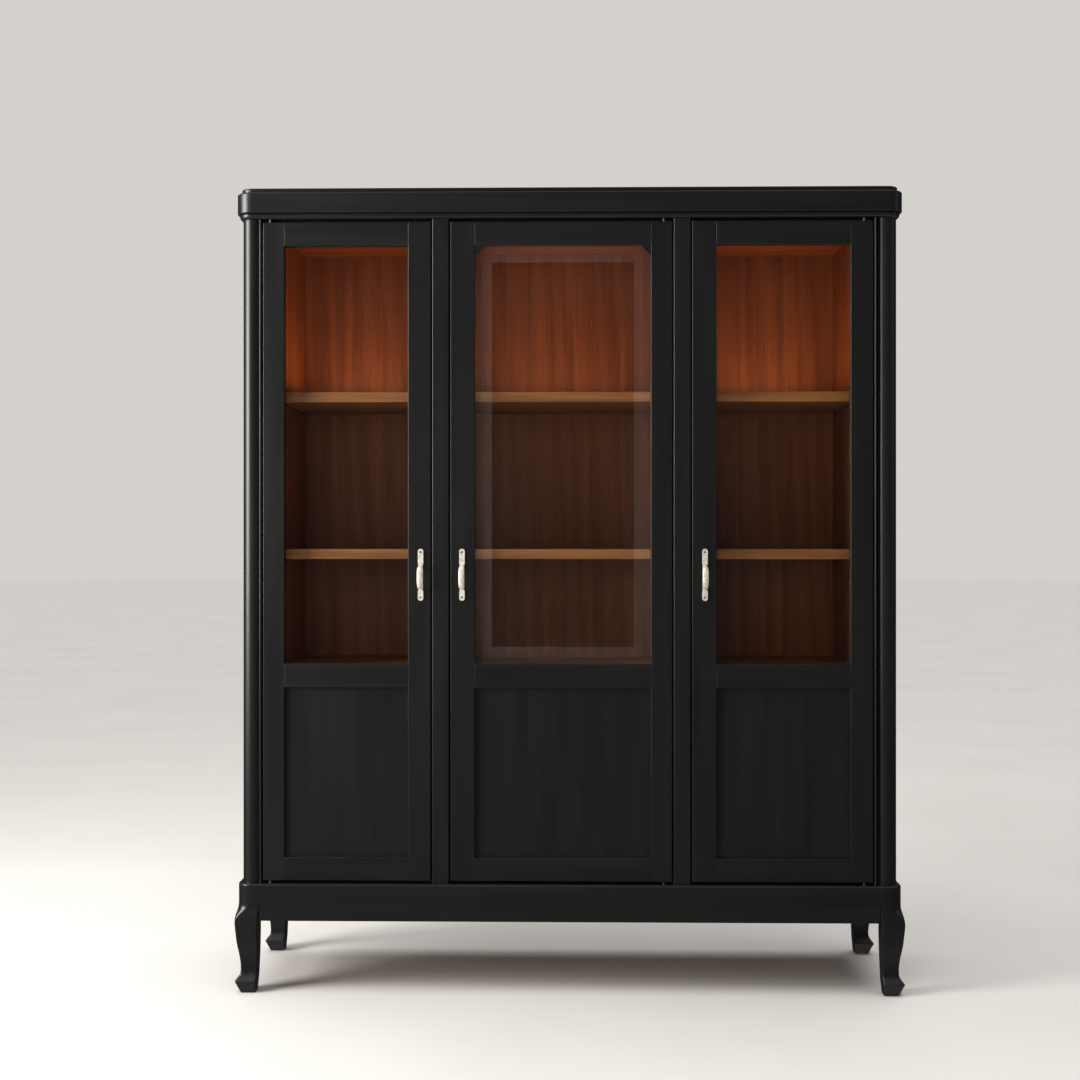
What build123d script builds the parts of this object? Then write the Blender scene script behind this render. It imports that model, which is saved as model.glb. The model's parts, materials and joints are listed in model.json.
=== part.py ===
from build123d import *

import os
from math import cos, pi, sin

# A free-standing, three-door apothecary cabinet on short cabriole legs. Millimetres, +Z up,
# the doors face -Y, +X is to the right of someone facing the doors. The origin is on the
# floor, under the middle of the overall box, pulls and cornice included.

# ---- driving dimensions -------------------------------------------------------------------
HALF_WIDTH = 814.5  # carcass, outer face of the corner posts
DEPTH = 420.0  # carcass, front face of the doors to the back
PULL_PROUD = 27.0  # pulls, in front of the door faces

FACE = -(DEPTH - PULL_PROUD) / 2  # front face of posts, mullions and doors
BACK = FACE + DEPTH

# Heights above the floor, from the plinth up.
PLINTH_BOTTOM = 181.0
PLINTH_TOP = 272.0
DOOR_BOTTOM = 280.0
LOWER_PANEL = (337.0, 760.5)
GLASS_OPENING = (819.0, 1859.5)
DOOR_TOP = 1917.0
BEAD_BOTTOM = 1925.5
FRIEZE_BOTTOM = 1939.0
CAP_BOTTOM = 1990.0
TOTAL_HEIGHT = 2003.0

POST_WIDTHS = {"left": 50.0, "right": 57.5}  # the two sides differ
POST_DEPTH = 48.0
COLUMN_RADIUS = 26.0  # round column on the outer corner of the front posts
STRIP_WIDTH = 6.0  # flat strip between the column and the door opening
QUIRK = (2.0, 8.0)  # width and depth of the groove between column and strip
SMALL_ROUND = 6.0  # plan corners at the back of the cabinet

MULLION_WIDTH = 42.0
MULLION_DEPTH = 24.0
# Stops on the mullions, behind the doors' edges: how far they stand out, and their depths
# behind the face. On a hinge side the stop is further back, clear of the turning stile.
STOP_OUT = 8.0
PULL_STOP = (24.0, 34.0)
HINGE_STOP = (34.0, 44.0)
DOOR_GAP = 4.0
# Widths of the three doors and of each door's left and right stile, and how far the pull's
# centre line is from the door's free edge. The side doors differ.
DOORS = {
    "left": {"width": 417.5, "stiles": (52.5, 56.0), "hinge": "left", "pull": 24.5},
    "centre": {"width": 549.8, "stiles": (59.8, 52.0), "hinge": "right", "pull": 28.5},
    "right": {"width": 446.2, "stiles": (59.7, 55.0), "hinge": "right", "pull": 31.2},
}

PLINTH_OUT = (10.5, 10.0)  # how far the plinth stands out from the carcass: at the sides, in front
APRON_THICKNESS = PLINTH_OUT[1] + MULLION_DEPTH
LEG_BLOCK = 57.0
LEG_BLOCK_BOTTOM = 223.0
PLINTH_ROUND = 33.0
PLINTH_EDGE = 5.0
JOINT_GROOVE = 0.9  # side of the square groove, set corner in, between leg block and apron

# Each cornice member: how far it stands out at the sides and in front, and its plan corners.
BEAD = {"out_side": 8.0, "out_front": 8.0, "front_round": 34.0}
FRIEZE = {"out_side": 14.0, "out_front": 16.0, "front_round": 42.0}
CAP = {"out_side": 3.5, "out_front": 0.0, "front_round": 30.0}
# Roundings of each member's upper and lower outer edges.
BEAD_EDGES = {"top": 3.0, "bottom": 8.0}
FRIEZE_EDGES = {"top": 4.0, "bottom": 3.0}
CAP_EDGES = {"top": 3.0, "bottom": 2.0}
# Thickness of the bars that make up the bead and the frieze.
BEAD_BARS = {"side": 34.0, "front": 32.0, "rear": 16.0}
FRIEZE_BARS = {"side": 42.0, "front": 42.0, "rear": 24.0}

FLOOR_TOP = 276.0
FLOOR_BOTTOM = 254.0
BEARER_WIDTH = 40.0
BEARER_BOTTOM = 200.0
CORNER_BLOCK = 30.0
CEILING = 1903.0
TOP_BOARD = 22.5
TOP_CLEARANCE = 1.5  # of the rebated top board over the turning hinge stiles
LINING_FACE = 724.0  # inner face of the side linings
LINING_FRONT = 36.0  # set back from the face, clear of the turning hinge stiles
PARTITION = 18.0
BACK_PANEL = (16.0, 6.0)  # from the back: front and rear face of the back panels
BATTEN = 60.0  # width of the upright back battens

SHELF_THICKNESS = 25.0
UPPER_SHELVES = (1079.0, 1474.0)  # undersides
FIXED_SHELF = (788.0, 810.0)
LOWER_SHELF = 540.0
SHELF_FRONT = 45.0
SHELF_PLAY = 1.0
SHELF_PIN_RADIUS = 3.0
SHELF_PIN_OUT = 9.0
SHELF_PIN_IN = 8.0
SHELF_PIN_INSET = (40.0, 60.0)  # from the shelf's front edge and from the back panels

SIDE_RAIL = 28.0
SIDE_PANEL = (8.0, 18.0)  # depth of the panel's two faces behind the side frame's face
GROOVE = 7.0
PANEL_TONGUE = 6.0

DOOR_THICKNESS = 22.0
LIP = 10.0  # front part of the door frame that the glass rests against
REBATE = 8.0
GLASS_PLAY = 2.0
PANE = 4.0
BEVELLED_PANE = 6.0
BEVEL = (42.0, 3.0)  # visible width and depth of the bevel round the centre pane
DOOR_PANEL = (8.0, 16.0)
EASED = 1.2
MULLION_ROUND = 2.5
TENON = (18.0, 30.0, 8.0)  # length, height, thickness
CORNER_BRACKET = 27.0  # legs of the triangles across the top corners of the centre opening

PIVOT_SETBACK = 18.0  # pivot axis from the hinge edge; it is at mid-thickness of the door
PIVOT_RADIUS = 4.0
PIVOT_PLAY = 0.05
PIVOT_REACH = 12.0
PIVOT_BORE = 14.0
PIVOT_COLLAR = 6.0
PIVOT_END_PLAY = 0.4

PULL_WIDTH = 13.5
PULL_PLATE = 3.0
PULL_LEVELS = (976.0, 1004.7, 1062.7, 1105.2)  # lower plate, grip, upper plate
GRIP_WIDTH = (11.4, 14.8)  # at the necks and in the middle
GRIP_THICKNESS = (4.6, 6.4)
GRIP_SQUARENESS = 0.7  # 1 gives a round bow, less a squarer one
GRIP_STEPS = 14
PULL_SCREW_INSET = 8.5
PULL_SLOT = 8.0  # height of the slot round the upper screw
SCREW_RADIUS = 1.5
SCREW_HEAD = 2.2
SCREW_HEAD_HEIGHT = 1.4
SCREW_LENGTH = 14.0
SCREW_PLAY = 0.1

NEARLY = 0.1  # vertices this close to a line count as on it

os.makedirs("parts", exist_ok=True)


# ---- helpers ------------------------------------------------------------------------------
def around(middle, size):
    """Two limits this far apart, on either side of a middle."""
    return middle - size / 2, middle + size / 2


def grown(limits, amount):
    """Two limits moved apart by the same amount each."""
    return limits[0] - amount, limits[1] + amount


def block(x, y, z):
    """A box between two limits on each axis."""
    size = [high - low for low, high in (x, y, z)]
    middle = [(high + low) / 2 for low, high in (x, y, z)]
    return Pos(*middle) * Box(*size)


def rod(radius, x, y, z, axis="Z"):
    """A cylinder along one axis: that axis gets two limits, the others one number."""
    turn = {"X": Rot(0, 90, 0), "Y": Rot(90, 0, 0), "Z": Rot(0, 0, 0)}[axis]
    limits = {"X": x, "Y": y, "Z": z}[axis]
    middle = {"X": x, "Y": y, "Z": z}
    middle[axis] = sum(limits) / 2
    length = abs(limits[1] - limits[0])
    return Pos(middle["X"], middle["Y"], middle["Z"]) * turn * Cylinder(radius, length)


def both_sides(*shapes):
    """The shapes, made for the right side, and their mirror images on the left."""
    return list(shapes) + [shape.mirror(Plane.YZ) for shape in shapes]


def save(node, shapes):
    """Write the solids of one node."""
    solids = [solid for shape in shapes for solid in shape.solids()]
    export_step(Compound(solids), f"parts/{node}.step")


def slab(out_side, out_front, z, front_round):
    """A level slab the size of the carcass plus an overhang, flush at the back."""
    x = HALF_WIDTH + out_side
    y0 = FACE - out_front
    outline = Pos(0, (y0 + BACK) / 2) * Rectangle(2 * x, BACK - y0)
    corners = outline.vertices()
    outline = fillet(corners.filter_by(lambda v: v.Y < 0), front_round)
    outline = fillet(outline.vertices().filter_by(lambda v: v.Y > BACK - 1), SMALL_ROUND)
    return Pos(0, 0, z[0]) * extrude(outline, z[1] - z[0])


def round_rim(solid, top=0.0, bottom=0.0):
    """Round the outer edges of a slab's top or bottom face."""
    if top:
        solid = fillet(solid.faces().sort_by(Axis.Z)[-1].edges(), top)
    if bottom:
        solid = fillet(solid.faces().sort_by(Axis.Z)[0].edges(), bottom)
    return solid


def frame_bars(solid, side, front, rear):
    """Cut a slab into the four bars of a frame: front, rear and two sides."""
    box = solid.bounding_box()
    x, z = (0, box.max.X), (box.min.Z, box.max.Z)
    front_line, rear_line = box.min.Y + front, BACK - rear
    front_bar = solid & block((-x[1], x[1]), (box.min.Y, front_line), z)
    rear_bar = solid & block((-x[1], x[1]), (rear_line, BACK), z)
    side_bar = solid & block((x[1] - side, x[1]), (front_line, rear_line), z)
    return [front_bar, rear_bar] + both_sides(side_bar)


# ---- places worked out from the driving dimensions ----------------------------------------
def lay_out_doors():
    """Left and right edge of each door, and of the two mullions between them."""
    doors, mullions = {}, []
    x = inner_faces[0]
    for name, door in DOORS.items():
        if doors:
            mullions.append((x, x + MULLION_WIDTH))
            x += MULLION_WIDTH
        doors[name] = (x + DOOR_GAP, x + DOOR_GAP + door["width"])
        x += door["width"] + 2 * DOOR_GAP
    return doors, mullions


def pivot_x(name):
    """X of a door's pivot axis."""
    left, right = door_edges[name]
    if DOORS[name]["hinge"] == "left":
        return left + PIVOT_SETBACK
    return right - PIVOT_SETBACK


inner_faces = (POST_WIDTHS["left"] - HALF_WIDTH, HALF_WIDTH - POST_WIDTHS["right"])
door_edges, mullion_edges = lay_out_doors()
pivots = [pivot_x(name) for name in DOORS]
pivot_y = FACE + DOOR_THICKNESS / 2
panel_front = BACK - BACK_PANEL[0]
mullion_middles = [sum(edges) / 2 for edges in mullion_edges]
bays = list(
    zip(
        [-LINING_FACE] + [x + PARTITION / 2 for x in mullion_middles],
        [x - PARTITION / 2 for x in mullion_middles] + [LINING_FACE],
    )
)


# ---- plinth and legs ----------------------------------------------------------------------
# Stations of the cabriole leg, from the block down: height above the floor, how far the outer
# faces stand outside the plinth's, width of the square section, radius of the outer corner.
LEG_STATIONS = (
    (LEG_BLOCK_BOTTOM, 0.0, 56.4, PLINTH_ROUND),
    (213.0, 0.3, 56.4, 30.0),
    (202.0, 1.8, 56.4, 18.0),
    (191.0, 3.8, 56.6, 8.0),
    (175.0, 4.8, 56.4, 5.0),
    (154.0, 3.2, 54.6, 5.0),
    (123.0, 0.0, 50.9, 5.0),
    (92.0, -5.4, 44.8, 5.0),
    (62.0, -8.3, 40.8, 5.0),
    (49.0, -7.4, 41.2, 5.0),
    (39.0, -2.2, 46.0, 5.0),
    (30.0, 4.5, 52.0, 5.0),
)
SOLE = (0.0, -8.0, 36.5, 5.0)  # the foot tapers straight from the last station to this one
ARRIS = 3.0  # radius of a leg's other three corners


def is_corner(vertex, middle, half):
    """Whether a vertex is still one of the sharp corners of a square."""
    offsets = (abs(vertex.X - middle[0]), abs(vertex.Y - middle[1]))
    return min(offsets) > half - NEARLY


def leg_section(station, front):
    """Square section of a right-hand leg, with its outer corner more rounded than the rest."""
    height, out, width, corner = station
    right = HALF_WIDTH + PLINTH_OUT[0] + out
    if front:
        y = FACE - PLINTH_OUT[1] - out + width / 2
    else:
        y = BACK - width / 2
        corner = SMALL_ROUND
    middle = (right - width / 2, y)
    outline = Pos(*middle) * Rectangle(width, width)
    outer = outline.vertices().sort_by(lambda v: v.X + (-v.Y if front else v.Y))[-1]
    outline = fillet(outer, corner)
    square = outline.vertices().filter_by(lambda v: is_corner(v, middle, width / 2))
    return Pos(0, 0, height) * fillet(square, ARRIS)


def leg(plinth, front):
    """A right-hand leg: block let into the plinth's corner above, cabriole below."""
    x = HALF_WIDTH + PLINTH_OUT[0]
    y = FACE - PLINTH_OUT[1] if front else BACK - LEG_BLOCK
    upper = plinth & block((x - LEG_BLOCK, x), (y, y + LEG_BLOCK), (LEG_BLOCK_BOTTOM, PLINTH_TOP))
    sections = [leg_section(station, front) for station in LEG_STATIONS]
    foot = loft([sections[-1], leg_section(SOLE, front)], ruled=True)
    return upper + loft(sections) + foot


def joint_groove(x):
    """A fine V groove down the front of the plinth, where a leg block meets the apron."""
    tool = Rot(0, 0, 45) * Box(JOINT_GROOVE, JOINT_GROOVE, PLINTH_TOP - PLINTH_BOTTOM)
    return Pos(x, FACE - PLINTH_OUT[1], (PLINTH_TOP + PLINTH_BOTTOM) / 2) * tool


def make_plinth():
    """Legs, aprons between them, bearers and corner blocks under the carcass floor."""
    plinth = slab(*PLINTH_OUT, (PLINTH_BOTTOM, PLINTH_TOP), PLINTH_ROUND)
    plinth = round_rim(plinth, top=PLINTH_EDGE)
    for groove in both_sides(joint_groove(HALF_WIDTH + PLINTH_OUT[0] - LEG_BLOCK)):
        plinth -= groove
    for end, front in (("front", True), ("rear", False)):
        right, left = both_sides(leg(plinth, front))
        save(f"leg_{end}_right", [right])
        save(f"leg_{end}_left", [left])

    x = HALF_WIDTH + PLINTH_OUT[0]
    block_line = x - LEG_BLOCK
    front = FACE - PLINTH_OUT[1]
    z = (PLINTH_BOTTOM, PLINTH_TOP)
    apron = plinth & block((-block_line, block_line), (front, front + APRON_THICKNESS), z)
    save("apron_front", [apron - Compound(bottom_pins())])
    save("apron_rear", [plinth & block((-block_line, block_line), (panel_front, BACK), z)])
    side = plinth & block((x - APRON_THICKNESS, x), (front + LEG_BLOCK, BACK - LEG_BLOCK), z)
    save("aprons_side", both_sides(side))

    inner_front = front + APRON_THICKNESS
    z = (BEARER_BOTTOM, FLOOR_BOTTOM)
    bearers = [
        block(around(middle, BEARER_WIDTH), (inner_front, panel_front), z)
        for middle in mullion_middles
    ]
    save("floor_bearers", bearers)
    corners = [
        block((block_line - CORNER_BLOCK, block_line), (y, y + CORNER_BLOCK), z)
        for y in (inner_front, panel_front - CORNER_BLOCK)
    ]
    save("corner_blocks", both_sides(*corners))


# ---- pivots -------------------------------------------------------------------------------
def bottom_pins():
    """Pivot pins that stand in the front apron, one under each hinge stile."""
    pins = []
    for x in pivots:
        shaft = rod(PIVOT_RADIUS, x, pivot_y, (PLINTH_TOP - PIVOT_REACH, DOOR_BOTTOM + PIVOT_REACH))
        collar = rod(PIVOT_COLLAR, x, pivot_y, (PLINTH_TOP, DOOR_BOTTOM - PIVOT_END_PLAY))
        pins.append((shaft + collar).solid())
    return pins


def top_pins():
    """Pivot pins that hang from the cornice bead, one over each hinge stile."""
    pins = []
    for x in pivots:
        shaft = rod(PIVOT_RADIUS, x, pivot_y, (DOOR_TOP - PIVOT_REACH, BEAD_BOTTOM + PIVOT_REACH))
        collar = rod(PIVOT_COLLAR, x, pivot_y, (DOOR_TOP + PIVOT_END_PLAY, BEAD_BOTTOM))
        pins.append((shaft + collar).solid())
    return pins


# ---- carcass ------------------------------------------------------------------------------
def side_panels(tongue):
    """Right-hand side panels, upper and lower, let this far into the frame round them."""
    x = (HALF_WIDTH - SIDE_PANEL[1], HALF_WIDTH - SIDE_PANEL[0])
    y = grown((FACE + POST_DEPTH, BACK - POST_DEPTH), tongue)
    return [block(x, y, grown(level, tongue)) for level in (LOWER_PANEL, GLASS_OPENING)]


def grooved(member):
    """A member of the side frame with the grooves for the side panels cut in."""
    for groove in side_panels(GROOVE):
        member -= groove
    return member


def upright(outline):
    """Stand a plan outline up between the plinth and the cornice bead."""
    return Pos(0, 0, PLINTH_TOP) * extrude(outline, BEAD_BOTTOM - PLINTH_TOP)


def front_post(width):
    """Right front post: round column on the corner, quirk and flat strip beside the door."""
    inner = HALF_WIDTH - width
    column = Pos(HALF_WIDTH - COLUMN_RADIUS, FACE + COLUMN_RADIUS) * Circle(COLUMN_RADIUS)
    column &= Pos(HALF_WIDTH - width / 2, FACE) * Rectangle(width, 2 * POST_DEPTH)
    core_depth = POST_DEPTH - COLUMN_RADIUS
    core_y = FACE + POST_DEPTH - core_depth / 2
    core = Pos(HALF_WIDTH - width / 2, core_y) * Rectangle(width, core_depth)
    quirk_width, quirk_depth = QUIRK
    strip = Pos(inner + STRIP_WIDTH / 2, FACE + POST_DEPTH / 2) * Rectangle(STRIP_WIDTH, POST_DEPTH)
    strip = fillet(strip.vertices().filter_by(lambda v: v.Y < FACE + NEARLY), MULLION_ROUND)
    quirk_x = inner + STRIP_WIDTH + quirk_width / 2
    quirk = Pos(quirk_x, FACE) * Rectangle(quirk_width, 2 * quirk_depth)
    return grooved(upright(column + core + strip - quirk))


def rear_post(width):
    """Right rear post, square but for an eased outer corner."""
    outline = Pos(HALF_WIDTH - width / 2, BACK - POST_DEPTH / 2) * Rectangle(width, POST_DEPTH)
    outer = outline.vertices().sort_by(lambda v: v.X + v.Y)[-1]
    return grooved(upright(fillet(outer, SMALL_ROUND)))


def mullion(edges, left_door, right_door):
    """Upright between two doors, with rounded front arrises and a stop behind each door."""
    depth = HINGE_STOP[1]
    middle = sum(edges) / 2
    outline = Pos(middle, FACE + depth / 2) * Rectangle(MULLION_WIDTH, depth)
    front = outline.vertices().filter_by(lambda v: v.Y < FACE + NEARLY)
    outline = fillet(front, MULLION_ROUND)
    for outward, door in ((-1, left_door), (1, right_door)):
        hinge_here = (DOORS[door]["hinge"] == "right") == (outward < 0)
        near, far = HINGE_STOP if hinge_here else PULL_STOP
        stop_x = middle + outward * (MULLION_WIDTH + STOP_OUT) / 2
        outline += Pos(stop_x, FACE + (near + far) / 2) * Rectangle(STOP_OUT, far - near)
    return upright(outline)


def mullions():
    """The two mullions."""
    names = list(DOORS)
    return [mullion(*row) for row in zip(mullion_edges, names, names[1:])]


def make_uprights():
    """Posts, mullions, partitions, side linings and the framed sides."""
    left, right = POST_WIDTHS["left"], POST_WIDTHS["right"]
    save("post_front_left", [front_post(left).mirror(Plane.YZ)])
    save("post_front_right", [front_post(right)])
    save("posts_rear", [rear_post(left).mirror(Plane.YZ), rear_post(right)])
    save("mullions", mullions())

    pins = Compound(shelf_pins())
    z = (FLOOR_TOP, CEILING)
    y = (FACE + HINGE_STOP[1], panel_front)
    partitions = [block(around(middle, PARTITION), y, z) for middle in mullion_middles]
    save("partitions", [partition - pins for partition in partitions])
    y = (FACE + LINING_FRONT, panel_front)
    linings = [block((inner_faces[0], -LINING_FACE), y, z), block((LINING_FACE, inner_faces[1]), y, z)]
    save("side_linings", [lining - pins for lining in linings])

    x = (HALF_WIDTH - SIDE_RAIL, HALF_WIDTH)
    y = (FACE + POST_DEPTH, BACK - POST_DEPTH)
    bottom = grooved(block(x, y, (PLINTH_TOP, LOWER_PANEL[0])))
    middle = grooved(block(x, y, (LOWER_PANEL[1], GLASS_OPENING[0])))
    top = grooved(block(x, y, (GLASS_OPENING[1], BEAD_BOTTOM)))
    save("side_rails", both_sides(bottom, middle, top))
    save("side_panels", both_sides(*side_panels(PANEL_TONGUE)))


def make_boards():
    """Carcass floor and top, fixed shelves, and the back with its framing."""
    front = FACE + MULLION_DEPTH
    notches = Compound([post.solid() for post in mullions()])
    floor = block(inner_faces, (front, panel_front), (FLOOR_BOTTOM, FLOOR_TOP))
    save("carcass_floor", [floor - notches])
    top = block(inner_faces, (front, panel_front), (CEILING, CEILING + TOP_BOARD))
    rebate = block(inner_faces, (front, FACE + LINING_FRONT), (CEILING, DOOR_TOP + TOP_CLEARANCE))
    save("carcass_top", [top - rebate - notches])
    fixed = [block(bay, (FACE + LINING_FRONT, panel_front), FIXED_SHELF) for bay in bays]
    save("fixed_shelves", [shelf - notches for shelf in fixed])

    panel_y = (panel_front, BACK - BACK_PANEL[1])
    splits = [inner_faces[0], *mullion_middles, inner_faces[1]]
    panels = [block(x, panel_y, (PLINTH_TOP, BEAD_BOTTOM)) for x in zip(splits, splits[1:])]
    save("back_panels", panels)

    frame_y = (BACK - BACK_PANEL[1], BACK)
    bars = [
        block(inner_faces, frame_y, (PLINTH_TOP, LOWER_PANEL[0])),
        block(inner_faces, frame_y, (GLASS_OPENING[1], BEAD_BOTTOM)),
    ]
    for middle in mullion_middles:
        bars.append(block(around(middle, BATTEN), frame_y, (LOWER_PANEL[0], GLASS_OPENING[1])))
    save("back_frame", bars)


def shelf_pins():
    """Four pins under every loose shelf, half in the board and half out of it."""
    levels = [underside - SHELF_PIN_RADIUS for underside in (*UPPER_SHELVES, LOWER_SHELF)]
    front_inset, rear_inset = SHELF_PIN_INSET
    depths = (FACE + SHELF_FRONT + front_inset, panel_front - rear_inset)
    reaches = []
    for left, right in bays:
        reaches.append((left - SHELF_PIN_IN, left + SHELF_PIN_OUT))
        reaches.append((right - SHELF_PIN_OUT, right + SHELF_PIN_IN))
    return [
        rod(SHELF_PIN_RADIUS, x, y, z, axis="X").solid()
        for z in levels
        for y in depths
        for x in reaches
    ]


def loose_shelf(bay, underside):
    """A loose shelf, with its front arrises eased."""
    left, right = bay
    board = block(
        (left + SHELF_PLAY, right - SHELF_PLAY),
        (FACE + SHELF_FRONT, panel_front - SHELF_PLAY),
        (underside, underside + SHELF_THICKNESS),
    )
    front_edges = board.faces().sort_by(Axis.Y)[0].edges().filter_by(Axis.X)
    return fillet(front_edges, EASED)


def make_shelves():
    """Loose shelves on their pins."""
    save("upper_shelves", [loose_shelf(bay, level) for level in UPPER_SHELVES for bay in bays])
    save("lower_shelves", [loose_shelf(bay, LOWER_SHELF) for bay in bays])
    save("shelf_pins", shelf_pins())


# ---- cornice ------------------------------------------------------------------------------
def make_cornice():
    """Bead, frieze band and cap, each a frame or board with rounded front corners."""
    bead = round_rim(slab(z=(BEAD_BOTTOM, FRIEZE_BOTTOM), **BEAD), **BEAD_EDGES)
    pins = Compound(top_pins())
    save("cornice_bead", [bar - pins for bar in frame_bars(bead, **BEAD_BARS)])

    frieze = round_rim(slab(z=(FRIEZE_BOTTOM, CAP_BOTTOM), **FRIEZE), **FRIEZE_EDGES)
    save("cornice_frieze", frame_bars(frieze, **FRIEZE_BARS))

    cap = slab(z=(CAP_BOTTOM, TOTAL_HEIGHT), **CAP)
    save("cornice_cap", [round_rim(cap, **CAP_EDGES)])


# ---- doors --------------------------------------------------------------------------------
def pull_x(name):
    """X of the middle of a door's pull."""
    left, right = door_edges[name]
    inset = DOORS[name]["pull"]
    return right - inset if DOORS[name]["hinge"] == "left" else left + inset


def screw_levels():
    """Heights of the two screws of a pull."""
    return PULL_LEVELS[0] + PULL_SCREW_INSET, PULL_LEVELS[3] - PULL_SCREW_INSET


def pull_screws(name):
    """Two screws through the plates of a pull into the stile, their heads sunk in the plate."""
    screws = []
    seat = FACE - PULL_PLATE + SCREW_HEAD_HEIGHT
    for z in screw_levels():
        shank = rod(SCREW_RADIUS, pull_x(name), (seat, FACE + SCREW_LENGTH), z, axis="Y")
        head = rod(SCREW_HEAD, pull_x(name), (seat - SCREW_HEAD_HEIGHT / 2, seat), z, axis="Y")
        screws.append((shank + head).solid())
    return screws


def bow_point(x, angle):
    """A point on the middle line of a pull's grip: a squarish bow, from the upper neck down."""
    middle = (PULL_LEVELS[1] + PULL_LEVELS[2]) / 2
    reach = (PULL_LEVELS[2] - PULL_LEVELS[1]) / 2 - GRIP_THICKNESS[0] / 2
    rise = PULL_PROUD - PULL_PLATE / 2 - GRIP_THICKNESS[1] / 2
    along = cos(angle)
    swell = max(sin(angle), 0.0) ** GRIP_SQUARENESS
    z = middle + reach * (abs(along) ** GRIP_SQUARENESS) * (1 if along > 0 else -1)
    return Vector(x, FACE - PULL_PLATE / 2 - rise * swell, z)


def grip(x):
    """The bow of a pull, lofted through ellipses that are widest in the middle."""
    sections = []
    nudge = pi / (4 * GRIP_STEPS)
    for step in range(GRIP_STEPS + 1):
        angle = pi * step / GRIP_STEPS
        along = bow_point(x, min(angle + nudge, pi)) - bow_point(x, max(angle - nudge, 0))
        share = sin(angle)
        width = GRIP_WIDTH[0] + (GRIP_WIDTH[1] - GRIP_WIDTH[0]) * share
        thickness = GRIP_THICKNESS[0] + (GRIP_THICKNESS[1] - GRIP_THICKNESS[0]) * share
        plane = Plane(origin=bow_point(x, angle), x_dir=(1, 0, 0), z_dir=along)
        sections.append(plane * Ellipse(width / 2, thickness / 2))
    return loft(sections)


def facing_front(x, z, outline, depth):
    """A plan outline turned to face the front, standing on the door face, this deep."""
    return Pos(x, FACE, z) * Rot(90, 0, 0) * extrude(outline, depth)


def pull(name):
    """Bow-shaped pull between two round-ended plates, the upper plate the longer."""
    x = pull_x(name)
    body = grip(x)
    for low, high in (PULL_LEVELS[:2], PULL_LEVELS[2:]):
        outline = SlotOverall(high - low, PULL_WIDTH, rotation=90)
        body += facing_front(x, (low + high) / 2, outline, PULL_PLATE)
    neck = Rectangle(GRIP_WIDTH[0], PULL_LEVELS[2] - PULL_LEVELS[1] + PULL_WIDTH)
    body += facing_front(x, (PULL_LEVELS[1] + PULL_LEVELS[2]) / 2, neck, PULL_PLATE / 2)
    sunk = SCREW_HEAD + SCREW_PLAY
    floor = FACE - PULL_PLATE + SCREW_HEAD_HEIGHT
    for z, height in zip(screw_levels(), (2 * sunk, PULL_SLOT)):
        body -= rod(SCREW_RADIUS, x, (floor, FACE), z, axis="Y")
        mouth = Circle(sunk) if height == 2 * sunk else SlotOverall(height, 2 * sunk, rotation=90)
        body -= Pos(0, floor - FACE, 0) * facing_front(x, z, mouth, SCREW_HEAD_HEIGHT)
    return body


def clipped(x, z, clip):
    """Outline of a rectangle with its two top corners cut off at 45 degrees."""
    (left, right), (bottom, top) = x, z
    below = [(left, bottom), (right, bottom)]
    above = [(right, top - clip), (right - clip, top), (left + clip, top), (left, top - clip)]
    return Polygon(*below, *above, align=None)


def upright_plane(y):
    """A plane facing the front at this depth, so that an outline's X, Y are the cabinet's X, Z."""
    return Plane((0, y, 0), x_dir=(1, 0, 0), z_dir=(0, -1, 0))


def pane(opening_x, bevelled):
    """Glass let into the rebate; the centre pane has a wide bevel round its front face."""
    edge = REBATE - GLASS_PLAY
    x, z = grown(opening_x, edge), grown(GLASS_OPENING, edge)
    front = FACE + LIP
    if not bevelled:
        return block(x, (front, front + PANE), z)
    bevel_width, bevel_depth = BEVEL
    clip_loss = 2 - 2**0.5  # a clipped corner's leg shrinks by this share of an inward offset
    outer_clip = CORNER_BRACKET - EASED
    inner_clip = CORNER_BRACKET - clip_loss * bevel_width
    outer = clipped(x, z, outer_clip)
    inner = clipped(grown(opening_x, -bevel_width), grown(GLASS_OPENING, -bevel_width), inner_clip)
    base = upright_plane(front + bevel_depth)
    rear = extrude(base * outer, BEVELLED_PANE - bevel_depth, dir=(0, 1, 0))
    return rear + loft([base * outer, upright_plane(front) * inner], ruled=True)


def glazing_beads(opening_x, pane_thickness):
    """Four strips that hold the pane in its rebate from behind."""
    y = (FACE + LIP + pane_thickness, FACE + DOOR_THICKNESS)
    (x0, x1), (z0, z1) = opening_x, GLASS_OPENING
    return [
        block((x0 - REBATE, x0), y, (z0 - REBATE, z1 + REBATE)),
        block((x1, x1 + REBATE), y, (z0 - REBATE, z1 + REBATE)),
        block((x0, x1), y, (z0 - REBATE, z0)),
        block((x0, x1), y, (z1, z1 + REBATE)),
    ]


def corner_brackets(opening_x):
    """Two small triangles across the top corners of the centre door's opening."""
    y = (FACE + EASED, FACE + LIP)
    top = GLASS_OPENING[1]
    brackets = []
    for corner, leg_end in ((opening_x[0], CORNER_BRACKET), (opening_x[1], -CORNER_BRACKET)):
        points = [(corner, top), (corner + leg_end, top), (corner, top - CORNER_BRACKET)]
        outline = upright_plane(y[1]) * Polygon(*points, align=None)
        brackets.append(extrude(outline, y[1] - y[0], dir=(0, -1, 0)))
    return brackets


def ease(member, axis):
    """Ease the long front arrises of a door member."""
    edges = member.faces().sort_by(Axis.Y)[0].edges().filter_by(axis)
    return fillet(edges, EASED)


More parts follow.
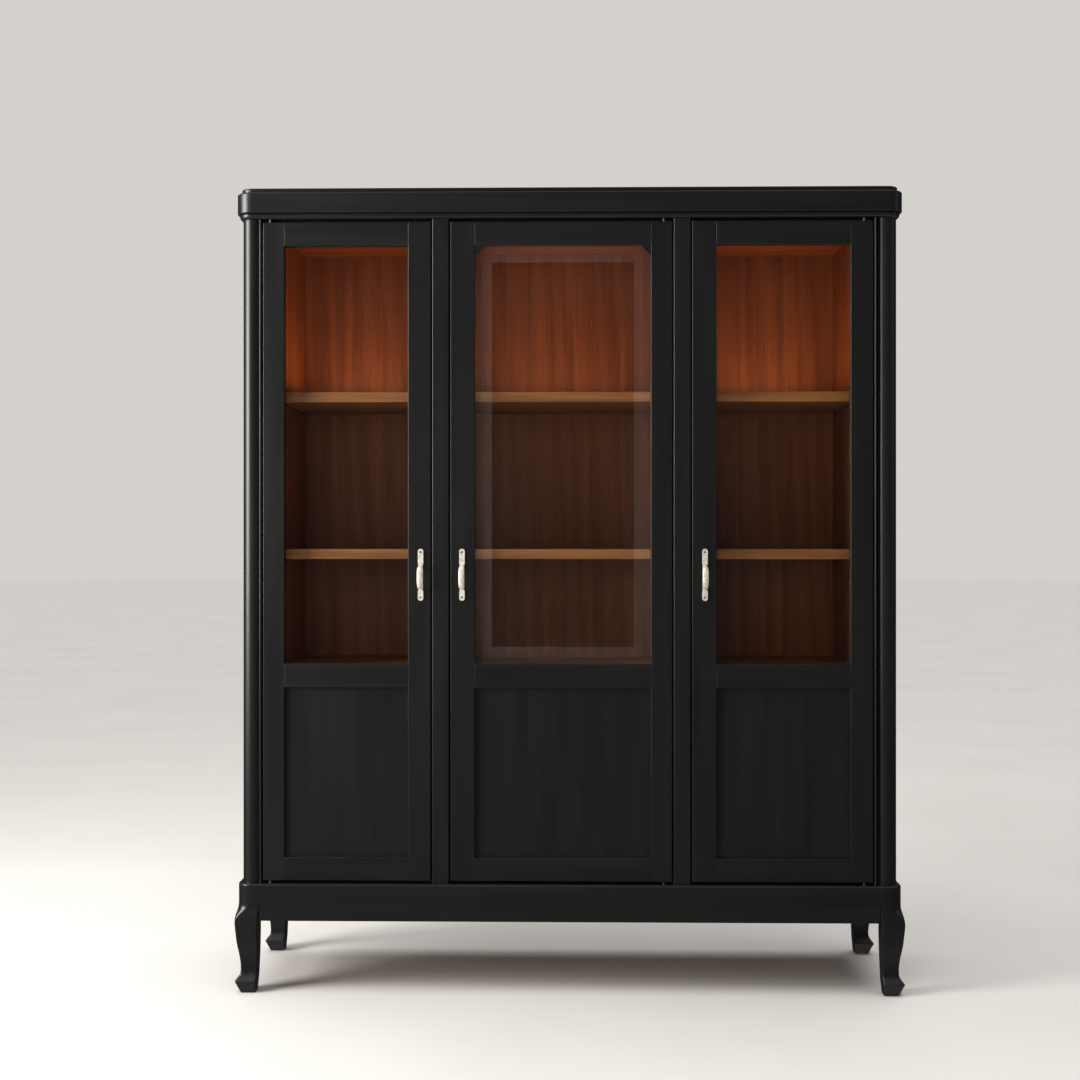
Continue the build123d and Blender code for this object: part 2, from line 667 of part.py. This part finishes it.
def make_door(name):
    """A framed door: two stiles, three rails, a glazed upper part and a panel below."""
    left, right = door_edges[name]
    left_stile, right_stile = DOORS[name]["stiles"]
    opening_x = (left + left_stile, right - right_stile)
    y = (FACE, FACE + DOOR_THICKNESS)
    bevelled = name == "centre"
    pane_thickness = BEVELLED_PANE if bevelled else PANE

    rebate = block(grown(opening_x, REBATE), (FACE + LIP, y[1]), grown(GLASS_OPENING, REBATE))
    panel_y = (FACE + DOOR_PANEL[0], FACE + DOOR_PANEL[1])
    groove = block(grown(opening_x, GROOVE), panel_y, grown(LOWER_PANEL, GROOVE))
    panel = block(grown(opening_x, PANEL_TONGUE), panel_y, grown(LOWER_PANEL, PANEL_TONGUE))

    tenon_length, tenon_height, tenon_thickness = TENON
    tenon_y = around(FACE + LIP, tenon_thickness)
    rails, tenons = {}, []
    levels = {
        "bottom_rail": (DOOR_BOTTOM, LOWER_PANEL[0]),
        "mid_rail": (LOWER_PANEL[1], GLASS_OPENING[0]),
        "top_rail": (GLASS_OPENING[1], DOOR_TOP),
    }
    for rail_name, level in levels.items():
        tenon_z = around(sum(level) / 2, tenon_height)
        tenon = block(grown(opening_x, tenon_length), tenon_y, tenon_z)
        rail = ease(block(opening_x, y, level), Axis.X) + tenon
        rails[rail_name] = rail - rebate - groove
        tenons.append(tenon)

    bores = []
    for z in ((DOOR_BOTTOM, DOOR_BOTTOM + PIVOT_BORE), (DOOR_TOP - PIVOT_BORE, DOOR_TOP)):
        bores.append(rod(PIVOT_RADIUS + PIVOT_PLAY, pivot_x(name), pivot_y, z))
    screws = pull_screws(name)
    stiles = []
    for x in ((left, opening_x[0]), (opening_x[1], right)):
        stile = ease(block(x, y, (DOOR_BOTTOM, DOOR_TOP)), Axis.Z)
        for cut in (rebate, groove, *tenons, *bores, *screws):
            stile -= cut
        stiles.append(stile)
    if DOORS[name]["hinge"] == "left":
        hinge_stile, pull_stile = stiles
    else:
        pull_stile, hinge_stile = stiles

    save(f"{name}_door_hinge_stile", [hinge_stile])
    save(f"{name}_door_pull_stile", [pull_stile])
    for rail_name, rail in rails.items():
        save(f"{name}_door_{rail_name}", [rail])
    save(f"{name}_door_lower_panel", [panel])
    save(f"{name}_door_glass", [pane(opening_x, bevelled)])
    save(f"{name}_door_glazing_beads", glazing_beads(opening_x, pane_thickness))
    save(f"{name}_door_pull", [pull(name)])
    save(f"{name}_door_pull_screws", screws)
    if bevelled:
        save(f"{name}_door_corner_brackets", corner_brackets(opening_x))


# ---- build --------------------------------------------------------------------------------
make_plinth()
make_uprights()
make_boards()
make_shelves()
make_cornice()
for door_name in DOORS:
    make_door(door_name)
save("pivot_pins", bottom_pins() + top_pins())
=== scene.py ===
import json
import math

import bpy
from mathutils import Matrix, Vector


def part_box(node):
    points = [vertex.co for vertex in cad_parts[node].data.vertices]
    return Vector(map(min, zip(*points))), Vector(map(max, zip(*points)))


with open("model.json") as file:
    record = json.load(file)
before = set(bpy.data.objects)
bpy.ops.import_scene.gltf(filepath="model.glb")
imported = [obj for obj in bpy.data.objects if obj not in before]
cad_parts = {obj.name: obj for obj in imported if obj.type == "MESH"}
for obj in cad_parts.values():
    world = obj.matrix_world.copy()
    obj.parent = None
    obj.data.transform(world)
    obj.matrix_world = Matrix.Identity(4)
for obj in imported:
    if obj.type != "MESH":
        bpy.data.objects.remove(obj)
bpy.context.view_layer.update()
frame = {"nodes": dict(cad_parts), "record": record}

# The looks of the apothecary cabinet: black satin paint outside, reddish oak inside, clear glass
# and worn nickel pulls, on a pale studio floor. Metres, in the CAD frame; nothing is moved.
nodes = frame["nodes"]
SLOT_OF = {row["node"]: row["material_slot"] for row in frame["record"]["subparts"]}


# ---- node helpers -------------------------------------------------------------------------
def new_material(name):
    """An empty node material, and its tree."""
    made = bpy.data.materials.new(name)
    made.use_nodes = True
    made.node_tree.nodes.clear()
    return made, made.node_tree


def add(tree, kind, settings=None, **inputs):
    """A shader node; inputs are sockets to link from, or values. Spaces in names are _ here."""
    node = tree.nodes.new("ShaderNode" + kind)
    for name, value in (settings or {}).items():
        setattr(node, name, value)
    for name, value in inputs.items():
        key = int(name[1:]) if name[0] == "i" and name[1:].isdigit() else name.replace("_", " ")
        if isinstance(value, bpy.types.NodeSocket):
            tree.links.new(value, node.inputs[key])
        else:
            node.inputs[key].default_value = value
    return node


def place(tree, scale, shift=(0.0, 0.0, 0.0)):
    """The piece's own coordinates, scaled per axis: a small scale stretches a pattern."""
    own = add(tree, "TexCoord").outputs["Object"]
    return add(tree, "Mapping", Vector=own, Scale=scale, Location=shift).outputs["Vector"]


def noise(tree, scale, detail=4.0, roughness=0.55, distortion=0.0, shift=(0.0, 0.0, 0.0)):
    """A noise value from 0 to 1, with one frequency per axis in cycles per metre."""
    return add(tree, "TexNoise", Vector=place(tree, scale, shift), Scale=1.0, Detail=detail,
               Roughness=roughness, Distortion=distortion).outputs["Fac"]


def spread(tree, value, low, high, start=0.0, end=1.0):
    """value mapped from start..end to low..high, clamped."""
    return add(tree, "MapRange", Value=value, From_Min=start, From_Max=end, To_Min=low,
               To_Max=high).outputs["Result"]


def maths(tree, operation, a, b=0.0):
    """The result of one math operation on two sockets or values."""
    return add(tree, "Math", {"operation": operation}, i0=a, i1=b).outputs[0]


def ramp(tree, value, stops):
    """A colour ramp through (position, colour) stops."""
    node = add(tree, "ValToRGB", Fac=value)
    row = node.color_ramp.elements
    while len(row) < len(stops):
        row.new(0.5)
    for element, (position, colour) in zip(row, stops):
        element.position = position
        element.color = (*colour, 1.0)
    return node.outputs["Color"]


def mixed(tree, share, first, second, blend="MIX"):
    """Two colours mixed by share."""
    node = add(tree, "Mix", {"data_type": "RGBA", "blend_type": blend})
    for index, value in ((0, share), (6, first), (7, second)):
        if isinstance(value, bpy.types.NodeSocket):
            tree.links.new(value, node.inputs[index])
        elif index:
            node.inputs[index].default_value = (*value, 1.0)
        else:
            node.inputs[index].default_value = value
    return node.outputs[2]


def bumped(tree, height, strength, distance, normal=None):
    """A normal bent by a height; distance is the bump's real depth in metres."""
    node = add(tree, "Bump", Height=height, Strength=strength, Distance=distance)
    if normal is not None:
        tree.links.new(normal, node.inputs["Normal"])
    return node.outputs["Normal"]


def finished(tree, **inputs):
    """Principled shader on the output."""
    shader = add(tree, "BsdfPrincipled", **inputs)
    tree.links.new(shader.outputs["BSDF"], add(tree, "OutputMaterial").inputs["Surface"])
    return shader


# ---- materials ----------------------------------------------------------------------------
PAINT_DARK = (0.0086, 0.0086, 0.0090)
PAINT_LIGHT = (0.0108, 0.0108, 0.0111)
PAINT_WORN = (0.060, 0.052, 0.045)
ARRIS = 0.0018  # radius of the shaded rounding of painted arrises


def stretched(along, across, lengthwise):
    """Frequencies per axis of a pattern that is drawn out along one axis, X, Y or Z."""
    scale = [across] * 3
    scale["XYZ".index(along)] = lengthwise
    return tuple(scale)


def black_paint(name, along):
    """Satin black paint: brush marks along the member, cloudy gloss, arrises rubbed a little."""
    made, tree = new_material(name)
    brush = noise(tree, stretched(along, 900.0, 10.0), detail=2.0)
    cloud = noise(tree, stretched(along, 26.0, 2.0), detail=3.0, roughness=0.45)
    rounded = add(tree, "Bevel", {"samples": 6}, Radius=ARRIS).outputs["Normal"]
    flat = add(tree, "NewGeometry").outputs["Normal"]
    agree = add(tree, "VectorMath", {"operation": "DOT_PRODUCT"}, i0=rounded, i1=flat)
    agree = agree.outputs["Value"]
    rubbed = maths(tree, "MULTIPLY", spread(tree, agree, 1.0, 0.0, 0.90, 0.99),
                   spread(tree, noise(tree, (60.0, 60.0, 60.0), detail=6.0), 0.0, 1.0, 0.48, 0.66))
    colour = ramp(tree, cloud, [(0.3, PAINT_DARK), (0.72, PAINT_LIGHT)])
    colour = mixed(tree, maths(tree, "MULTIPLY", rubbed, 0.7), colour, PAINT_WORN)
    gloss = spread(tree, cloud, 0.30, 0.37, 0.3, 0.7)
    gloss = maths(tree, "ADD", gloss, spread(tree, brush, -0.03, 0.03))
    grain = bumped(tree, brush, 0.10, 0.00006, rounded)
    waves = bumped(tree, cloud, 0.10, 0.0006, grain)
    finished(tree, Base_Color=colour, Roughness=gloss, Normal=waves, Specular_IOR_Level=0.5)
    return made


# Woods, from dark to light grain: (position, colour).
OAK = [
    (0.0, (0.080, 0.0165, 0.0030)),
    (0.35, (0.165, 0.0375, 0.0060)),
    (0.62, (0.240, 0.0600, 0.0100)),
    (1.0, (0.340, 0.1000, 0.0190)),
]
SHELF_OAK = [
    (0.0, (0.110, 0.034, 0.0090)),
    (0.35, (0.210, 0.071, 0.0190)),
    (0.62, (0.310, 0.113, 0.0320)),
    (1.0, (0.430, 0.180, 0.0580)),
]
BARE_OAK = [
    (0.0, (0.180, 0.110, 0.0580)),
    (0.4, (0.300, 0.200, 0.1150)),
    (1.0, (0.440, 0.320, 0.2000)),
]


def black_edges_and_gap_shade(tree, black_and_shade_behind):
    """1 on faces that look forward and lie in front of this depth: boards edged black, partly as a real
    finish and partly as painted shade in the gaps round the doors.
    """
    forward = add(tree, "SeparateXYZ", Vector=add(tree, "TexCoord").outputs["Normal"]).outputs["Y"]
    depth = add(tree, "SeparateXYZ", Vector=add(tree, "TexCoord").outputs["Object"]).outputs["Y"]
    looks_forward = maths(tree, "LESS_THAN", forward, -0.5)
    return maths(tree, "MULTIPLY", looks_forward, maths(tree, "LESS_THAN", depth, black_and_shade_behind))


def wood(name, along, colours, gloss, depth=0.00005, black_and_shade_behind=None):
    """Oak: soft growth bands and fine fibres along the board, with short dark pores."""
    made, tree = new_material(name)
    sway = noise(tree, stretched(along, 4.0, 1.4), detail=3.0)
    bands = add(tree, "TexWave", {"wave_type": "BANDS", "bands_direction": "DIAGONAL"},
                Vector=place(tree, stretched(along, 11.0, 0.5)), Scale=1.0, Distortion=7.0, Detail=4.0,
                Detail_Scale=1.4, Detail_Roughness=0.65).outputs["Fac"]
    fibres = noise(tree, stretched(along, 520.0, 9.0), detail=5.0, roughness=0.7)
    streaks = noise(tree, stretched(along, 95.0, 2.2), detail=4.0)
    pores = noise(tree, stretched(along, 900.0, 24.0), detail=2.0, roughness=0.5)
    tone = maths(tree, "ADD", maths(tree, "MULTIPLY", bands, 0.12), maths(tree, "MULTIPLY", fibres, 0.48))
    tone = maths(tree, "ADD", tone, maths(tree, "MULTIPLY", streaks, 0.34))
    tone = maths(tree, "ADD", tone, maths(tree, "MULTIPLY", sway, 0.20))
    tone = spread(tree, tone, 0.0, 1.0, 0.26, 0.86)
    colour = ramp(tree, tone, colours)
    open_pores = spread(tree, pores, 1.0, 0.0, 0.30, 0.40)
    colour = mixed(tree, maths(tree, "MULTIPLY", open_pores, 0.55), colour, colours[0][1])
    dull_pores = maths(tree, "MULTIPLY", open_pores, 0.2)
    rough = maths(tree, "ADD", spread(tree, tone, gloss + 0.07, gloss - 0.05), dull_pores)
    if black_and_shade_behind is not None:
        # Black front edges: a real black edging, and also painted shade where the edges show in the gaps
        # round the doors.
        colour = mixed(tree, black_edges_and_gap_shade(tree, black_and_shade_behind), colour, PAINT_DARK)
    height = maths(tree, "SUBTRACT", fibres, maths(tree, "MULTIPLY", open_pores, 0.6))
    normal = bumped(tree, height, 0.5, depth)
    finished(tree, Base_Color=colour, Roughness=rough, Normal=normal)
    return made


def clear_glass(name):
    """Polished panes: see-through, mirroring at a slant. A bevelled face bends and veils a little."""
    made, tree = new_material(name)
    film = noise(tree, (9.0, 9.0, 9.0), detail=6.0)
    rough = spread(tree, film, 0.0, 0.06, 0.35, 0.75)
    inward = add(tree, "NewGeometry").outputs["Backfacing"]
    mirror = add(tree, "Fresnel", IOR=1.5).outputs["Fac"]
    mirror = maths(tree, "MULTIPLY", mirror, spread(tree, inward, 1.8, 0.0))
    gloss = add(tree, "BsdfGlossy", Color=(0.95, 0.97, 1.0, 1.0), Roughness=rough).outputs["BSDF"]
    clear = add(tree, "BsdfTransparent", Color=(0.955, 0.97, 0.96, 1.0)).outputs["BSDF"]
    pane = add(tree, "MixShader", i0=mirror, i1=clear, i2=gloss).outputs["Shader"]

    facing = add(tree, "SeparateXYZ", Vector=add(tree, "TexCoord").outputs["Normal"]).outputs["Y"]
    tilt = maths(tree, "SUBTRACT", 1.0, maths(tree, "ABSOLUTE", facing))
    tilted = spread(tree, tilt, 0.0, 1.0, 0.0008, 0.0016)
    bevel = maths(tree, "MULTIPLY", tilted, spread(tree, tilt, 1.0, 0.0, 0.1, 0.2))
    shadow = add(tree, "LightPath").outputs["Is Shadow Ray"]
    bevel = maths(tree, "MULTIPLY", bevel, spread(tree, shadow, 1.0, 0.0))
    veil = add(tree, "BsdfDiffuse", Color=(0.42, 0.36, 0.34, 1.0)).outputs["BSDF"]
    bent = add(tree, "BsdfRefraction", Color=(0.95, 0.96, 0.96, 1.0), Roughness=0.0, IOR=1.1)
    bent = bent.outputs["BSDF"]
    slant = add(tree, "MixShader", i0=0.05, i1=bent, i2=veil).outputs["Shader"]
    both = add(tree, "MixShader", i0=bevel, i1=pane, i2=slant)
    tree.links.new(both.outputs["Shader"], add(tree, "OutputMaterial").inputs["Surface"])
    return made


def metal(name, bright, dull, rough, tarnish, metallic=1.0):
    """Plated metal: rubbed bright where hands touch it, clouded and speckled elsewhere."""
    made, tree = new_material(name)
    cloud = noise(tree, (160.0, 160.0, 110.0), detail=6.0, roughness=0.6)
    specks = noise(tree, (1500.0, 1500.0, 1500.0), detail=3.0)
    scratch = noise(tree, (700.0, 700.0, 60.0), detail=3.0, distortion=0.4)
    worn = spread(tree, cloud, 0.0, 1.0, 0.5 - tarnish, 0.5 + tarnish)
    colour = mixed(tree, worn, bright, dull)
    spots = spread(tree, specks, 0.0, 0.7, 0.60, 0.72)
    colour = mixed(tree, spots, colour, tuple(0.35 * c for c in dull))
    speckled = spread(tree, specks, -0.04, 0.06)
    gloss = maths(tree, "ADD", spread(tree, worn, rough, rough + 0.18), speckled)
    normal = bumped(tree, maths(tree, "ADD", scratch, specks), 0.25, 0.00003)
    finished(tree, Base_Color=colour, Metallic=metallic, Roughness=gloss, Normal=normal)
    return made


PALE_NICKEL, DULL_NICKEL = (0.90, 0.86, 0.78), (0.58, 0.53, 0.46)
STEEL, DULL_STEEL = (0.16, 0.155, 0.15), (0.055, 0.05, 0.045)

# Oak boards are painted black on their front edges, as far back as this: partly a real finish, partly
# painted shade where these edges show through the gaps round the doors.
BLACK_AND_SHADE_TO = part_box("side_linings")[0].y + 0.012

LOOKS = {
    "black_paint_upright": black_paint("black_paint_upright", "Z"),
    "black_paint_level": black_paint("black_paint_level", "X"),
    "black_paint_side": black_paint("black_paint_side", "Y"),
    "oak_veneer_upright": wood("oak_veneer_upright", "Z", OAK, 0.42, black_and_shade_behind=BLACK_AND_SHADE_TO),
    "oak_veneer_level": wood("oak_veneer_level", "X", OAK, 0.42, black_and_shade_behind=BLACK_AND_SHADE_TO),
    "shelf_oak": wood("shelf_oak", "X", SHELF_OAK, 0.40),
    "rough_oak": wood("rough_oak", "Y", BARE_OAK, 0.70, depth=0.0002),
    "glass": clear_glass("glass"),
    "aged_nickel": metal("aged_nickel", PALE_NICKEL, DULL_NICKEL, 0.38, 0.16, metallic=0.3),
    "dark_steel": metal("dark_steel", STEEL, DULL_STEEL, 0.38, 0.2),
    "dark_screw": metal("dark_screw", DULL_STEEL, tuple(0.5 * c for c in DULL_STEEL), 0.5, 0.2),
}
LEVEL_WORDS = ("rail", "apron_front", "apron_rear", "cornice", "fixed")
LEVEL_OAK = ("carcass_top", "carcass_floor")


def look_for(name):
    """The material of a CAD node: its slot's, with the grain along the member."""
    slot = SLOT_OF[name]
    if slot == "black_paint":
        if name in ("aprons_side", "side_rails"):
            return LOOKS["black_paint_side"]
        level = any(word in name for word in LEVEL_WORDS)
        return LOOKS["black_paint_level" if level else "black_paint_upright"]
    if slot == "oak_veneer":
        return LOOKS["oak_veneer_level" if name in LEVEL_OAK else "oak_veneer_upright"]
    return LOOKS[slot]


for node_name, cad_object in nodes.items():
    for material_slot in cad_object.material_slots:
        material_slot.material = look_for(node_name)


# ---- floor, light and camera ---------------------------------------------------------------
FLOOR_RADIUS = 40.0
OVERHEAD_HEIGHT = 6.0
GLOW_ABOVE_SHELF = 0.012


def pale_floor():
    """A wide, pale, faintly mottled studio floor."""
    bpy.ops.mesh.primitive_circle_add(vertices=96, radius=FLOOR_RADIUS, fill_type="NGON")
    floor = bpy.context.object
    floor.name = "studio_floor"
    made, tree = new_material("studio_floor")
    mottle = noise(tree, (1.5, 1.5, 1.5), detail=5.0)
    colour = ramp(tree, mottle, [(0.3, (0.62, 0.60, 0.57)), (0.7, (0.66, 0.64, 0.61))])
    finished(tree, Base_Color=colour, Roughness=0.75, Specular_IOR_Level=0.25)
    floor.data.materials.append(made)
    floor.visible_glossy = False


def area_light(name, place_at, target, size, power, colour=(1.0, 1.0, 1.0), mirrored=True):
    """A soft rectangular lamp aimed at a point; unless mirrored, no gloss or glass shows it."""
    lamp = bpy.data.lights.new(name, "AREA")
    lamp.shape = "RECTANGLE"
    lamp.size, lamp.size_y = size
    lamp.energy = power
    lamp.color = colour
    holder = bpy.data.objects.new(name, lamp)
    bpy.context.scene.collection.objects.link(holder)
    holder.location = place_at
    holder.rotation_mode = "QUATERNION"
    holder.rotation_quaternion = (Vector(target) - Vector(place_at)).to_track_quat("-Z", "Y")
    holder.visible_glossy = mirrored


def studio_world(seen, soft, mirrored, mirrored_high):
    """Even surroundings: pale where the camera sees them, softer as light. In reflections they
    are dim at eye level, as in a dark room, and lighter towards the ceiling and the floor."""
    world = bpy.data.worlds.new("studio")
    world.use_nodes = True
    tree = world.node_tree
    tree.nodes.clear()
    path = add(tree, "LightPath").outputs
    way = add(tree, "SeparateXYZ", Vector=add(tree, "TexCoord").outputs["Generated"]).outputs["Z"]
    steep = spread(tree, maths(tree, "ABSOLUTE", way), 0.0, 1.0, 0.35, 0.8)
    mirror = mixed(tree, steep, mirrored, mirrored_high)
    light = mixed(tree, path["Is Glossy Ray"], soft, mirror)
    colour = mixed(tree, path["Is Camera Ray"], light, seen)
    back = add(tree, "Background", Color=colour, Strength=1.0).outputs["Background"]
    tree.links.new(back, add(tree, "OutputWorld").inputs["Surface"])
    bpy.context.scene.world = world


def overhead_light(strength, softness):
    """A very soft lamp straight above, which lights the floor evenly to its edge."""
    lamp = bpy.data.lights.new("overhead", "SUN")
    lamp.energy = strength
    lamp.angle = math.radians(softness)
    holder = bpy.data.objects.new("overhead", lamp)
    bpy.context.scene.collection.objects.link(holder)
    holder.location = (0.0, 0.0, OVERHEAD_HEIGHT)
    holder.visible_glossy = False


def bay_glow(bay, power):
    """A warm lamp lying on the top shelf behind a door, which lights the top of the bay."""
    low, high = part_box(bay + "_door_top_rail")
    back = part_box("back_panels")[0].y
    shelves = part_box("upper_shelves")
    front, above = shelves[0].y, shelves[1].z + GLOW_ABOVE_SHELF
    spot = Vector(((low.x + high.x) / 2, (front + back) / 2, above))
    size = (high.x - low.x - 0.12, 0.75 * (back - front))
    name = bay + "_glow"
    overhead = spot + Vector((0.0, 0.0, 1.0))
    area_light(name, spot, overhead, size, power, (1.0, 0.66, 0.38), mirrored=False)
    bpy.data.objects[name].visible_camera = False
    bpy.data.objects[name].visible_transmission = False


CAMERA_AWAY = 3.75  # in front of the door faces
CAMERA_HEIGHT = 1.127
CAMERA_YAW = 1.08  # degrees
LENS = 50.37  # millimetres
BAY_GLOW = 0.9  # watts

pale_floor()
studio_world(
    seen=(0.66, 0.64, 0.61),
    soft=(0.085, 0.083, 0.080),
    mirrored=(0.03, 0.03, 0.031),
    mirrored_high=(0.40, 0.39, 0.38),
)
middle = (0.0, 0.0, 1.0)
area_light("key_left", (-3.2, -1.5, 1.9), middle, (1.4, 2.4), 180.0, (1.0, 0.98, 0.95))
area_light(
    "fill_front", (-0.8, -5.4, 1.6), middle, (3.0, 2.0), 42.0, (1.0, 0.95, 0.88), mirrored=False
)
area_light("rim_right", (4.2, -1.0, 2.2), middle, (0.8, 2.2), 3.0)
overhead_light(3.0, 60.0)
for bay in ("left", "centre", "right"):
    bay_glow(bay, BAY_GLOW)

door_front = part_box("left_door_pull_stile")[0].y
camera = bpy.data.cameras.new("camera")
camera.lens = LENS
camera.sensor_width = 36.0
camera_object = bpy.data.objects.new("camera", camera)
bpy.context.scene.collection.objects.link(camera_object)
camera_object.location = (0.0, door_front - CAMERA_AWAY, CAMERA_HEIGHT)
camera_object.rotation_euler = (math.radians(90.0), 0.0, math.radians(CAMERA_YAW))
bpy.context.scene.camera = camera_object
bpy.context.scene.view_settings.view_transform = "Standard"
